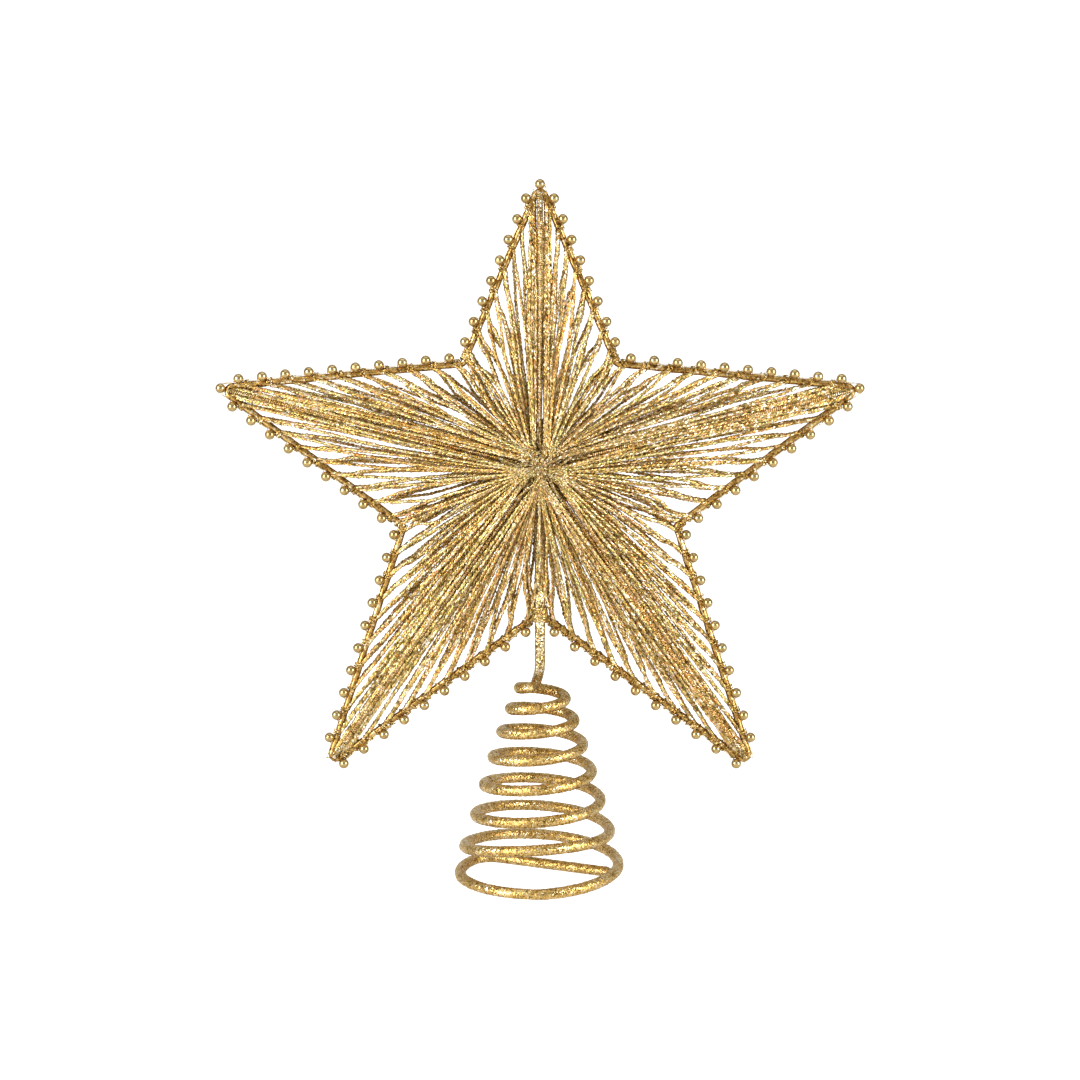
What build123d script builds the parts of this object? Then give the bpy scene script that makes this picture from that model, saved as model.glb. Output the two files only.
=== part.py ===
"""Gold tree-topper star: a bent wire star, wound with thread and edged with beads, on a conical wire coil.

Millimetres, +Z up, the star faces -Y, and the origin is the middle of the coil's foot on the ground.
"""

import math
import os

from build123d import *

# Star outline: sharp corners of the frame wire's centre line, given as half widths and heights
crown_tip_z = 278.7
arm_tip_x = 127.4
arm_tip_z = 198.8
leg_tip_x = 86.2
leg_tip_z = 45.5
shoulder_x = 30.4
shoulder_z = 208.2
waist_x = 54.4
waist_z = 143.6
crotch_z = 108.4

# Frame wire and the sleeve over its butt joint
frame_wire = 2.06
tip_bend = 2.0
notch_bend = 2.5
joint_from_notch = 3.6
joint_gap = 0.3
joint_sleeve = 2.6
joint_wall = 0.55

# Thread crossings in front of and behind the frame, and the post that holds them apart
hub_z = 168.2
hub_depth = 19.0
crossing_radius = 9.0
crossing_rim = 6.2
crossing_crown = 1.0
post_diameter = 4.0

# Wrapped ridge cords from the tips to the crossings
ridge_diameter = 2.4
ridge_inset = 0.5

# Winding thread: one loop round the frame just past each bead
thread = 0.95
wrap_past_bead = 2.8
wrap_clear_of_notch = 5.6
thread_levels = 4
thread_level_step = 1.55

# Beads on a string along the outside of the frame
bead_diameter = 4.1
bead_reach = 2.8
bead_sides = 6
string = 0.7
string_turn = 3.4
string_tip = 1.0
string_end = 3.0
crown_beads = 8
crown_first = 7.5
crown_last = 8.2
shoulder_beads = 10
shoulder_first = 8.2
shoulder_last = 5.3
flank_beads = 9
flank_first = 8.7
flank_last = 9.0
outer_leg_beads = 10
outer_leg_first = 12.0
outer_leg_last = 4.5
inner_leg_beads = 10
inner_leg_first = 6.3
inner_leg_last = 9.1

# Stem wire, its lashing to the frame and its bend down to the coil
stem_wire = 3.7
stem_bend_z = 86.0
stem_bend = 5.0
stem_seat_turn = 0.21
lashing_wall = 0.45
lashing_height = 6.0

# Conical coil and its closed foot turn
coil_wire = 4.2
coil_top_z = 77.8
coil_top_radius = 8.4
coil_foot_radius = 32.6
coil_turns = 6.75
coil_lead = 0.2
coil_steady = 0.71
coil_spans = 14
foot_flat = 0.42
foot_arc = 120.0
foot_tuck_radius = 9.0
foot_tuck_arc = 87.0

# Clearances
fit_gap = 0.1
butt_gap = 0.3
stem_butt_gap = 0.6

wire_sides = 8
frame_sides = 6
coil_sides = 6
crossing_sides = 14
strand_gap = 0.45
front = -1.0
back = 1.0


def at(point, depth):
    """A point of the star's plane, moved off that plane along Y."""
    return Vector(point[0], depth, point[1])


def along(start, end):
    """Unit direction and distance between two points of the star's plane."""
    dx = end[0] - start[0]
    dz = end[1] - start[1]
    length = math.hypot(dx, dz)
    return (dx / length, dz / length), length


def moved(point, direction, distance):
    return (point[0] + direction[0] * distance, point[1] + direction[1] * distance)


hub = (0.0, hub_z)
tips = {
    "crown": (0.0, crown_tip_z),
    "left_arm": (-arm_tip_x, arm_tip_z),
    "left_leg": (-leg_tip_x, leg_tip_z),
    "right_leg": (leg_tip_x, leg_tip_z),
    "right_arm": (arm_tip_x, arm_tip_z),
}
notches = {
    "left_shoulder": (-shoulder_x, shoulder_z),
    "left_waist": (-waist_x, waist_z),
    "crotch": (0.0, crotch_z),
    "right_waist": (waist_x, waist_z),
    "right_shoulder": (shoulder_x, shoulder_z),
}
arm_order = list(tips)
notch_order = list(notches)

# The two edges of each arm, clockwise neighbour first, with the name and the bead layout of each
arm_edges = {
    "crown": (("crown_right", "right_shoulder", "crown"), ("crown_left", "left_shoulder", "crown")),
    "left_arm": (("left_arm_upper", "left_shoulder", "shoulder"), ("left_arm_lower", "left_waist", "flank")),
    "left_leg": (("left_leg_outer", "left_waist", "outer_leg"), ("left_leg_inner", "crotch", "inner_leg")),
    "right_leg": (("right_leg_inner", "crotch", "inner_leg"), ("right_leg_outer", "right_waist", "outer_leg")),
    "right_arm": (("right_arm_lower", "right_waist", "flank"), ("right_arm_upper", "right_shoulder", "shoulder")),
}
arms_with_tip_bead = ("crown", "left_arm", "right_arm")

# Beads on an edge, with the places of the first, from the tip, and the last, from the notch
bead_rows = {
    "crown": (crown_beads, crown_first, crown_last),
    "shoulder": (shoulder_beads, shoulder_first, shoulder_last),
    "flank": (flank_beads, flank_first, flank_last),
    "outer_leg": (outer_leg_beads, outer_leg_first, outer_leg_last),
    "inner_leg": (inner_leg_beads, inner_leg_first, inner_leg_last),
}


def outward(direction, point):
    """The edge's normal that points away from the hub."""
    normal = (-direction[1], direction[0])
    away = normal[0] * (point[0] - hub[0]) + normal[1] * (point[1] - hub[1])
    return normal if away > 0 else (-normal[0], -normal[1])


def edge_layout(arm, edge):
    """Bead places and wrap places of one edge, both counted from the tip, with the edge's directions."""
    _, notch, style = edge
    tip = tips[arm]
    direction, length = along(tip, notches[notch])
    normal = outward(direction, moved(tip, direction, length / 2))
    count, first, last = bead_rows[style]
    pitch = (length - first - last) / (count - 1)
    beads = [first + pitch * i for i in range(count)]
    wraps = [place + wrap_past_bead for place in beads if place + wrap_past_bead < length - wrap_clear_of_notch]
    return {"tip": tip, "direction": direction, "normal": normal, "length": length, "beads": beads, "wraps": wraps}


layouts = {edge[0]: edge_layout(arm, edge) for arm, edges in arm_edges.items() for edge in edges}


def bend_axis(corner, first, second, bend):
    """Direction that halves two headings into a corner, against them, and the bend's apex on the wire's line."""
    axis, _ = along((first[0] + second[0], first[1] + second[1]), (0.0, 0.0))
    half_angle = math.acos(-(first[0] * axis[0] + first[1] * axis[1]))
    return axis, moved(corner, axis, bend / math.sin(half_angle) - bend)


def arm_axis(arm):
    """Outward direction of an arm and the apex of its bend."""
    inward = [layouts[edge[0]]["direction"] for edge in arm_edges[arm]]
    axis, apex = bend_axis(tips[arm], (-inward[0][0], -inward[0][1]), (-inward[1][0], -inward[1][1]), tip_bend)
    return (-axis[0], -axis[1]), apex


os.makedirs("parts", exist_ok=True)


def keep(part, name):
    part.label = name
    export_step(part, f"parts/{name}.step")


# Frame: one wire bent round ten corners, its ends butted just above the left shoulder
joint_edge = layouts["crown_left"]
joint_place = joint_edge["length"] - joint_from_notch
joint_start = moved(joint_edge["tip"], joint_edge["direction"], joint_place - joint_gap / 2)
joint_end = moved(joint_edge["tip"], joint_edge["direction"], joint_place + joint_gap / 2)
corners = []
radii = []
for arm, notch in zip(reversed(arm_order[1:] + arm_order[:1]), reversed(notch_order)):
    corners += [tips[arm], notches[notch]]
    radii += [tip_bend, notch_bend]
route = [at(joint_start, 0)] + [at(corner, 0) for corner in corners] + [at(joint_end, 0)]

with BuildPart() as star_frame:
    with BuildLine() as frame_line:
        FilletPolyline(*route, radius=radii)
    with BuildSketch(Plane(origin=route[0], z_dir=frame_line.line % 0)):
        RegularPolygon(frame_wire / 2, frame_sides)
    sweep()
keep(star_frame.part, "star_frame")

with BuildPart() as frame_joint:
    start = moved(joint_edge["tip"], joint_edge["direction"], joint_place - joint_sleeve / 2)
    with BuildSketch(Plane(origin=at(start, 0), z_dir=at(joint_edge["direction"], 0))):
        RegularPolygon(frame_wire / 2 + fit_gap + joint_wall, wire_sides, major_radius=False)
        RegularPolygon(frame_wire / 2 + fit_gap, wire_sides, major_radius=False, mode=Mode.SUBTRACT)
    extrude(amount=joint_sleeve)
keep(frame_joint.part, "frame_joint")

# Thread crossings: shallow pads with a bevelled rim, flat towards the post
crossing_inner = hub_depth - crossing_rim / 2
for side, name in ((front, "crossing_front"), (back, "crossing_back")):
    with BuildPart() as crossing:
        with BuildSketch(Plane(origin=at(hub, side * crossing_inner), z_dir=(0, side, 0))):
            RegularPolygon(crossing_radius, crossing_sides)
        extrude(amount=crossing_rim + crossing_crown)
        outer_face = crossing.faces().sort_by(Axis.Y)[-1 if side > 0 else 0]
        chamfer(outer_face.edges(), crossing_crown)
    keep(crossing.part, name)

with BuildPart() as hub_post:
    with BuildSketch(Plane(origin=at(hub, -crossing_inner), z_dir=(0, 1, 0))):
        Circle(post_diameter / 2)
    extrude(amount=2 * crossing_inner)
keep(hub_post.part, "hub_post")

# Ridge cords: straight rods from the bend of each tip up to the rim of a crossing
rim_reach = crossing_radius + butt_gap
ridge_angle = {}
for arm in arm_order:
    axis, apex = arm_axis(arm)
    towards_tip, _ = along(hub, tips[arm])
    ridge_angle[arm] = math.atan2(towards_tip[1], towards_tip[0])
    for side, name in ((front, "front"), (back, "back")):
        foot = at(moved(apex, axis, -ridge_inset), side * (frame_wire / 2 + fit_gap + ridge_diameter / 2))
        head = at(moved(hub, towards_tip, rim_reach), side * hub_depth)
        with BuildPart() as ridge:
            with BuildSketch(Plane(origin=foot, z_dir=head - foot)):
                RegularPolygon(ridge_diameter / 2, wire_sides)
            extrude(amount=(head - foot).length)
        keep(ridge.part, f"ridge_{name}_{arm}")

# Winding: strands leave the front crossing, go over the frame and meet those of the back at its outer side
wrap_reach = frame_wire / 2 + fit_gap + thread / 2
loops = {name: [] for name in layouts}
for index, arm in enumerate(arm_order):
    after = arm_edges[arm][1]
    next_arm = arm_order[(index + 1) % len(arm_order)]
    before = arm_edges[next_arm][0]
    first = layouts[after[0]]
    second = layouts[before[0]]
    places = [(after[0], moved(first["tip"], first["direction"], s), first["normal"]) for s in first["wraps"]]
    if after[1] != "crotch":
        notch_axis, notch_apex = bend_axis(notches[after[1]], first["direction"], second["direction"], notch_bend)
        places.append((after[0], notch_apex, notch_axis))
    places += [
        (before[0], moved(second["tip"], second["direction"], s), second["normal"])
        for s in reversed(second["wraps"])
    ]
    beside_ridge = (ridge_diameter / 2 + strand_gap + thread / 2) / rim_reach
    low = ridge_angle[arm] + beside_ridge
    high = ridge_angle[next_arm] - beside_ridge
    if high < low:
        high += 2 * math.pi
    for order, (name, place, normal) in enumerate(places):
        angle = low + (high - low) * order / (len(places) - 1)
        slot = moved(hub, (math.cos(angle), math.sin(angle)), rim_reach)
        level = hub_depth + thread_level_step * (order % thread_levels - (thread_levels - 1) / 2)
        turn = moved(place, normal, wrap_reach)
        loops[name].append((slot, level, turn))


def least_gap(first_points, second_points, thickness):
    """Least clear distance between two round strands, measured on points of their centre lines."""
    return min((p - q).length for p in first_points for q in second_points) - thickness


def strand_points(loop, count):
    """Points down the straight front strand of a loop."""
    slot, level, turn = loop
    start = at(slot, -level)
    end = at(turn, -wrap_reach)
    return [start + (end - start) * (i / count) for i in range(count + 1)]


strands = [strand_points(loop, 60) for edge_loops in loops.values() for loop in edge_loops]
print("least gap between strands", min(least_gap(a, b, thread) for a, b in zip(strands[:-1], strands[1:])))

for side, side_name in ((front, "front"), (back, "back")):
    for name, edge_loops in loops.items():
        with BuildPart() as winding:
            for slot, level, turn in edge_loops:
                start = at(slot, side * level)
                knee = at(turn, side * wrap_reach)
                with BuildLine() as strand_line:
                    Polyline(start, knee, at(turn, side * fit_gap / 2))
                lay = knee - start
                with BuildSketch(Plane(origin=start, x_dir=lay.cross(Vector(0, 1, 0)), z_dir=lay)):
                    Rectangle(thread, thread)
                sweep(path=strand_line.line, transition=Transition.RIGHT)
        keep(winding.part, f"winding_{side_name}_{name}")

# Beads: faceted balls with a square hole along the edge, set a little forward so that they clear the frame
bead_radius = bead_diameter / 2
bead_clear = frame_wire / 2 + fit_gap + bead_radius
bead_depth = -math.sqrt(bead_clear**2 - bead_reach**2)
bead_flat = bead_radius * math.cos(math.pi / bead_sides)
bead_edge = bead_flat * (2 - math.sqrt(2))
with BuildPart(mode=Mode.PRIVATE) as bead:
    with BuildSketch(Plane.XY.offset(-bead_flat)):
        RegularPolygon(bead_radius, bead_sides)
    extrude(amount=2 * bead_flat)
    chamfer(bead.faces().filter_by(Axis.Z).edges(), bead_edge)
    Box(string + 2 * fit_gap, string + 2 * fit_gap, bead_diameter, mode=Mode.SUBTRACT)

for arm in arm_order:
    axis, apex = arm_axis(arm)
    spots = []
    ends = []
    turns = []
    for edge in arm_edges[arm]:
        layout = layouts[edge[0]]
        line_start = moved(layout["tip"], layout["normal"], bead_reach)
        spots += [(moved(line_start, layout["direction"], s), layout["direction"]) for s in layout["beads"]]
        ends.append(moved(line_start, layout["direction"], layout["beads"][-1] + string_end))
        turn_place = layout["beads"][0] - string_turn if arm in arms_with_tip_bead else string_tip
        turns.append(moved(line_start, layout["direction"], turn_place))
    crosswise = (-axis[1], axis[0])
    tip_turns = []
    if arm in arms_with_tip_bead:
        tip_bead = moved(apex, axis, bead_reach)
        spots.append((tip_bead, crosswise))
        tip_turns = [moved(tip_bead, crosswise, -string_turn), moved(tip_bead, crosswise, string_turn)]
    places = [
        Location(Plane(origin=at(spot, bead_depth), x_dir=(0, 1, 0), z_dir=at(hole, 0))) for spot, hole in spots
    ]
    with BuildPart() as beads:
        with Locations(*places):
            add(bead.part)
    keep(beads.part, f"beads_{arm}")
    path = [at(p, bead_depth) for p in [ends[0], turns[0], *tip_turns, turns[1], ends[1]]]
    with BuildPart() as bead_string:
        with BuildLine() as string_line:
            Polyline(*path)
        with BuildSketch(Plane(origin=path[0], x_dir=(0, 1, 0), z_dir=path[1] - path[0])):
            Rectangle(string, string)
        sweep(path=string_line.line, transition=Transition.RIGHT)
    keep(bead_string.part, f"bead_string_{arm}")

# Coil: a cone of wire, clockwise going down as seen from above, levelling out on the ground at the front
foot_z = coil_wire / 2 - foot_flat


def coil_point(turn):
    share = turn / coil_turns
    drop = coil_steady * share + (1 - coil_steady) * share**2
    radius = coil_top_radius + (coil_foot_radius - coil_top_radius) * min(share, 1.0)
    angle = math.pi - 2 * math.pi * turn
    return Vector(radius * math.cos(angle), radius * math.sin(angle), coil_top_z - (coil_top_z - foot_z) * drop)


def coil_heading(turn):
    step = 1e-4
    return (coil_point(turn + step) - coil_point(turn - step)).normalized()


def biarc(start, start_heading, end, end_heading):
    """The point where two equal-tangent arcs between two headings meet."""
    chord = end - start
    both = start_heading + end_heading
    a = 2 * (start_heading.dot(end_heading) - 1)
    b = -2 * chord.dot(both)
    c = chord.dot(chord)
    reach = (-b - math.sqrt(b * b - 4 * a * c)) / (2 * a)
    return (start + start_heading * reach + end - end_heading * reach) * 0.5


spans = [-coil_lead + (coil_turns + coil_lead) * i / coil_spans for i in range(coil_spans + 1)]
arriving = coil_heading(coil_turns)
level_heading = Vector(arriving.X, arriving.Y, 0).normalized()
with BuildPart() as coil:
    with BuildLine() as coil_line:
        for low, high in zip(spans[:-1], spans[1:]):
            start = coil_point(low)
            end = coil_point(high)
            heading = coil_heading(low)
            arrival = level_heading if high == spans[-1] else coil_heading(high)
            meet = biarc(start, heading, end, arrival)
            TangentArc(start, meet, tangent=heading)
            TangentArc(end, meet, tangent=-arrival)
    coil_start = coil_point(spans[0])
    level_out = Vector(coil_start.X, coil_start.Y, 0)
    with BuildSketch(Plane(origin=coil_start, x_dir=level_out, z_dir=coil_heading(spans[0]))):
        RegularPolygon(coil_wire / 2, coil_sides)
    sweep()
    coil_volume = coil.part.volume
    split(bisect_by=Plane.XY, keep=Keep.TOP)
keep(coil.part, "coil")
coil_length = sum(edge.length for edge in coil_line.edges())
wire_area = coil_sides / 2 * (coil_wire / 2) ** 2 * math.sin(2 * math.pi / coil_sides)
coil_points = [coil_point(-coil_lead + (coil_turns + coil_lead) * i / 600) for i in range(601)]
print("coil volume against section times length", coil_volume / (wire_area * coil_length))
coil_gaps = [least_gap([p], coil_points[i + 50 :], coil_wire) for i, p in enumerate(coil_points[:-50])]
print("coil least gap to itself", min(coil_gaps))

# Foot: the last turn lies flat, and its end is drawn across and tucked inside the turn above
with BuildPart() as coil_foot:
    with BuildLine(Plane.XY.offset(foot_z)) as foot_line:
        begin = fit_gap / coil_foot_radius
        begin_point = (-coil_foot_radius * math.sin(begin), -coil_foot_radius * math.cos(begin))
        sweep_round = JernArc(begin_point, (-math.cos(begin), math.sin(begin)), coil_foot_radius, -foot_arc)
        tuck = JernArc(sweep_round @ 1, sweep_round % 1, foot_tuck_radius, -foot_tuck_arc)
        tail_start = tuck @ 1
        tail_heading = tuck % 1
        inward = tail_start.X * tail_heading.X + tail_start.Y * tail_heading.Y
        tail_radius = coil_foot_radius - coil_wire
        beyond = inward**2 - (tail_start.X**2 + tail_start.Y**2) + tail_radius**2
        Line(tail_start, tail_start + tail_heading * (-inward + math.sqrt(beyond)))
    with BuildSketch(Plane(origin=foot_line.line @ 0, x_dir=(0, -1, 0), z_dir=foot_line.line % 0)):
        RegularPolygon(coil_wire / 2, coil_sides)
    sweep()
    split(bisect_by=Plane.XY, keep=Keep.TOP)
keep(coil_foot.part, "coil_foot")

# Stem: up from the back of the coil's first turn, bent to run in front of the frame, and on to the post
stem_depth = -(frame_wire / 2 + 2 * fit_gap + lashing_wall + stem_wire / 2)
coil_seat = coil_point(stem_seat_turn)
stem_knee = Vector(0, stem_depth, stem_bend_z)
stem_drop = (coil_seat - stem_knee).normalized()
stem_foot = coil_seat - stem_drop * (coil_wire / 2 + stem_butt_gap)
stem_head = Vector(0, stem_depth, hub_z - post_diameter / 2 - fit_gap)
with BuildPart() as stem:
    with BuildLine() as stem_line:
        FilletPolyline(stem_head, stem_knee, stem_foot, radius=stem_bend)
    with BuildSketch(Plane(origin=stem_head, z_dir=(0, 0, -1))):
        RegularPolygon(stem_wire / 2, wire_sides)
    sweep()
keep(stem.part, "stem")

half_side = 180 / wire_sides
with BuildPart() as stem_lashing:
    with BuildSketch(Plane(origin=(0, stem_depth, crotch_z - lashing_height / 2))):
        RegularPolygon(stem_wire / 2 + fit_gap + lashing_wall, wire_sides, major_radius=False, rotation=half_side)
        RegularPolygon(
            stem_wire / 2 + fit_gap, wire_sides, major_radius=False, rotation=half_side, mode=Mode.SUBTRACT
        )
    extrude(amount=lashing_height)
keep(stem_lashing.part, "stem_lashing")
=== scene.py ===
import math
import random

import bmesh
import bpy
from mathutils import Matrix, Vector, noise


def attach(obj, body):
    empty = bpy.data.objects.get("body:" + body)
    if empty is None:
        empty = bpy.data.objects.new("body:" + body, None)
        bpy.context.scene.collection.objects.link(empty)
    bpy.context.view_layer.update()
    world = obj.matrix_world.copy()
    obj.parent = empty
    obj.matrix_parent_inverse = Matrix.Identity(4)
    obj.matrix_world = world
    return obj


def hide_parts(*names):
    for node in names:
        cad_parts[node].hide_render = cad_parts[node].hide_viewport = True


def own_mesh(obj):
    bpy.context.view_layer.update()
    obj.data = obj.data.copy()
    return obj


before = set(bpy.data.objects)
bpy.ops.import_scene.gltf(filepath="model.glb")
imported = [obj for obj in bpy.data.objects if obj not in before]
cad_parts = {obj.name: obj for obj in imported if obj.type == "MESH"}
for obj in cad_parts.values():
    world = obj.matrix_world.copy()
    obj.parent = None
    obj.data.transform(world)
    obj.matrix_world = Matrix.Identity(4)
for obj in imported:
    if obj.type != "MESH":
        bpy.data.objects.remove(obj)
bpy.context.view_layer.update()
random.seed(12)

# Camera: a little above the star's middle and looking slightly down on it, as the photograph was taken.
# The long lens keeps the star's outline almost square on.
camera_looks_down = 6.28
camera = bpy.data.objects.new("camera", bpy.data.cameras.new("camera"))
camera.data.lens = 63.93
camera.data.sensor_width = 36.0
camera.location = (0.0, -0.764, 0.222)
camera.rotation_euler = (math.radians(90 - camera_looks_down), 0.0, 0.0)
bpy.context.scene.collection.objects.link(camera)
bpy.context.scene.camera = camera
bpy.context.scene.view_settings.view_transform = "Standard"

# Studio: white paper on the table, swept up behind the star in one long curve.
# Two tall softboxes stand left and right in front of it, a flat one hangs above, and the room round them is dim.
paper_in_picture = 1.0
paper_in_reflections = 0.32
paper_front = -2.0
paper_sides = (-3.0, 3.0)
paper_runs = ((0, 4.0, 0), (0, 0.25, 0.04), (0, 0.22, 0.12), (0, 0.12, 0.22), (0, 0.04, 0.25), (0, 0, 3.0))
sweep = bmesh.new()
paper_edge = [sweep.verts.new((x, paper_front, 0.0)) for x in paper_sides]
paper_strip = [sweep.edges.new(paper_edge)]
for run in paper_runs:
    grown = bmesh.ops.extrude_edge_only(sweep, edges=paper_strip)["geom"]
    bmesh.ops.translate(sweep, verts=[v for v in grown if isinstance(v, bmesh.types.BMVert)], vec=run)
    paper_strip = [e for e in grown if isinstance(e, bmesh.types.BMEdge)]
bmesh.ops.recalc_face_normals(sweep, faces=sweep.faces)
paper_mesh = bpy.data.meshes.new("paper_sweep")
sweep.to_mesh(paper_mesh)
sweep.free()
paper_mesh.shade_smooth()
paper = bpy.data.objects.new("paper_sweep", paper_mesh)
bpy.context.scene.collection.objects.link(paper)
white_paper = bpy.data.materials.new("white_paper")
white_paper.use_nodes = True
paper_nodes = white_paper.node_tree.nodes
paper_links = white_paper.node_tree.links
paper_shader = paper_nodes["Principled BSDF"]
paper_shader.inputs["Roughness"].default_value = 0.9
paper_shader.inputs["Specular IOR Level"].default_value = 0.1
paper_ray = paper_nodes.new("ShaderNodeLightPath")
paper_glow = paper_nodes.new("ShaderNodeMapRange")
paper_glow.inputs["To Min"].default_value = paper_in_reflections
paper_glow.inputs["To Max"].default_value = paper_in_picture
paper_links.new(paper_ray.outputs["Is Camera Ray"], paper_glow.inputs["Value"])
paper_links.new(paper_glow.outputs["Result"], paper_shader.inputs["Emission Strength"])
paper_shader.inputs["Emission Color"].default_value = (1.0, 1.0, 1.0, 1.0)
paper_fibre = paper_nodes.new("ShaderNodeTexNoise")
paper_fibre.inputs["Scale"].default_value = 400.0
paper_tone = paper_nodes.new("ShaderNodeValToRGB")
paper_tone.color_ramp.elements[0].color = (0.62, 0.62, 0.62, 1.0)
paper_tone.color_ramp.elements[1].color = (0.66, 0.66, 0.66, 1.0)
paper_links.new(paper_fibre.outputs["Fac"], paper_tone.inputs["Fac"])
paper_links.new(paper_tone.outputs["Color"], paper_shader.inputs["Base Color"])
paper_mesh.materials.append(white_paper)

room = bpy.data.worlds.new("room")
room.use_nodes = True
bpy.context.scene.world = room
room_light = room.node_tree.nodes["Background"]
room_ray = room.node_tree.nodes.new("ShaderNodeLightPath")
room_tone = room.node_tree.nodes.new("ShaderNodeMix")
room_tone.data_type = "RGBA"
room_tone.inputs["A"].default_value = (0.45, 0.45, 0.45, 1.0)
room_tone.inputs["B"].default_value = (1.0, 1.0, 1.0, 1.0)
room.node_tree.links.new(room_ray.outputs["Is Camera Ray"], room_tone.inputs["Factor"])
room.node_tree.links.new(room_tone.outputs["Result"], room_light.inputs["Color"])

lit_point = Vector((0.0, 0.0, 0.15))
for name, place, watts, width, height in (
    ("softbox_left", (-0.75, -0.70, 0.39), 11.6, 0.55, 0.80),
    ("softbox_right", (0.85, -0.55, 0.27), 9.8, 0.45, 0.80),
    ("softbox_top", (0.0, -0.12, 0.95), 1.2, 0.80, 0.50),
):
    softbox = bpy.data.objects.new(name, bpy.data.lights.new(name, "AREA"))
    softbox.data.shape = "RECTANGLE"
    softbox.data.size = width
    softbox.data.size_y = height
    softbox.data.energy = watts
    softbox.location = place
    softbox.rotation_euler = (lit_point - Vector(place)).to_track_quat("-Z", "Y").to_euler()
    bpy.context.scene.collection.objects.link(softbox)

# Coil: thick springy wire wound into a cone that slips over the tree's top shoot.
# It is steel, coated with gold glitter that stands out in small flat flakes all over.
# Its lowest turn above the foot swells a little and rides up in front, where the foot's end is tucked under it.
MM = 0.001
coil_wire = 4.2
coil_coat = 0.13
coil_swell = 0.9
coil_swell_at = 6.0
coil_swell_turns = 0.75
coil_ride_up = 3.0
coil_ride_up_at = 5.76
coil_ride_up_turns = 0.3
coil_top_z = 77.8
coil_top_radius = 8.4
coil_foot_radius = 32.6
coil_turns = 6.75
coil_lead = 0.2
coil_steady = 0.71
foot_flat = 0.42
foot_z = coil_wire / 2 - foot_flat
blunt_end = 0.12
strand_tones = 8


def hump(turn, at, reach):
    """A smooth rise and fall: 1 at one place along the coil, and 0 from reach turns away."""
    return math.cos((turn - at) / reach * math.pi / 2) ** 2 if abs(turn - at) < reach else 0.0


def coil_point(turn):
    """The middle of the coil's wire, so many turns down from its top."""
    share = turn / coil_turns
    drop = coil_steady * share + (1 - coil_steady) * share**2
    radius = coil_top_radius + (coil_foot_radius - coil_top_radius) * min(share, 1.0)
    radius += coil_swell * hump(turn, coil_swell_at, coil_swell_turns)
    angle = math.pi - 2 * math.pi * turn
    height = coil_top_z - (coil_top_z - foot_z) * drop
    height += coil_ride_up * hump(turn, coil_ride_up_at, coil_ride_up_turns)
    return Vector((radius * math.cos(angle), radius * math.sin(angle), height))


def wire_mesh(name, runs, wire, rounding):
    """Round wire along runs of (point, share of the wire's thickness), in millimetres, as a mesh in metres.

    Each run gets one of a few tones by chance, kept as the attribute strand of its faces.
    """
    curve = bpy.data.curves.new(name, "CURVE")
    curve.dimensions = "3D"
    curve.bevel_depth = wire / 2
    curve.bevel_resolution = rounding
    curve.use_fill_caps = True
    for _ in range(strand_tones):
        curve.materials.append(None)
    for run in runs:
        spline = curve.splines.new("POLY")
        spline.material_index = random.randrange(strand_tones)
        spline.points.add(len(run) - 1)
        for knot, (place, share) in zip(spline.points, run):
            knot.co = (*place, 1.0)
            knot.radius = share
    drawn = bpy.data.objects.new(name, curve)
    bpy.context.scene.collection.objects.link(drawn)
    bpy.context.view_layer.update()
    mesh = bpy.data.meshes.new_from_object(drawn.evaluated_get(bpy.context.evaluated_depsgraph_get()))
    bpy.data.objects.remove(drawn)
    bpy.data.curves.remove(curve)
    mesh.name = name
    mesh.transform(Matrix.Scale(MM, 4))
    picked = [0] * len(mesh.polygons)
    mesh.polygons.foreach_get("material_index", picked)
    strand = mesh.attributes.new("strand", "FLOAT", "FACE")
    strand.data.foreach_set("value", [(tone + 0.5) / strand_tones for tone in picked])
    mesh.shade_smooth()
    return mesh


def rounded_ends(line, wire):
    """The thickness along a wire whose two ends are rounded over."""
    travelled = [0.0]
    for before, after in zip(line, line[1:]):
        travelled.append(travelled[-1] + (after - before).length)
    run = []
    for place, far in zip(line, travelled):
        from_end = min(far, travelled[-1] - far) / (wire / 2)
        run.append((place, 1.0 if from_end >= 1 else max(blunt_end, math.sqrt(1 - (1 - from_end) ** 2))))
    return run


def coat_with_glitter(mesh, height):
    """Pushes each point of a coated wire in or out a little, so that every face is a flake with its own tilt."""
    normals = [tuple(v.normal) for v in mesh.vertices]
    for vertex, normal in zip(mesh.vertices, normals):
        vertex.co += Vector(normal) * random.uniform(-height, height) * MM
        vertex.co.z = max(vertex.co.z, 0.0)


glitter_metal = 0.92
patch_scale = 260.0
patch_range = (0.3, 0.7)
patch_drift = 0.16
metres_a_radian = 0.045


def colour_steps(nodes, stops):
    """A ramp that goes from colour to colour in plain steps, as flakes differ from each other."""
    ramp = nodes.new("ShaderNodeValToRGB")
    ramp.color_ramp.interpolation = "CONSTANT"
    ramp.color_ramp.elements.remove(ramp.color_ramp.elements[1])
    for at, colour in stops:
        stop = ramp.color_ramp.elements.new(at) if at > 0 else ramp.color_ramp.elements[0]
        stop.color = (*colour, 1.0)
    return ramp


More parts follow.
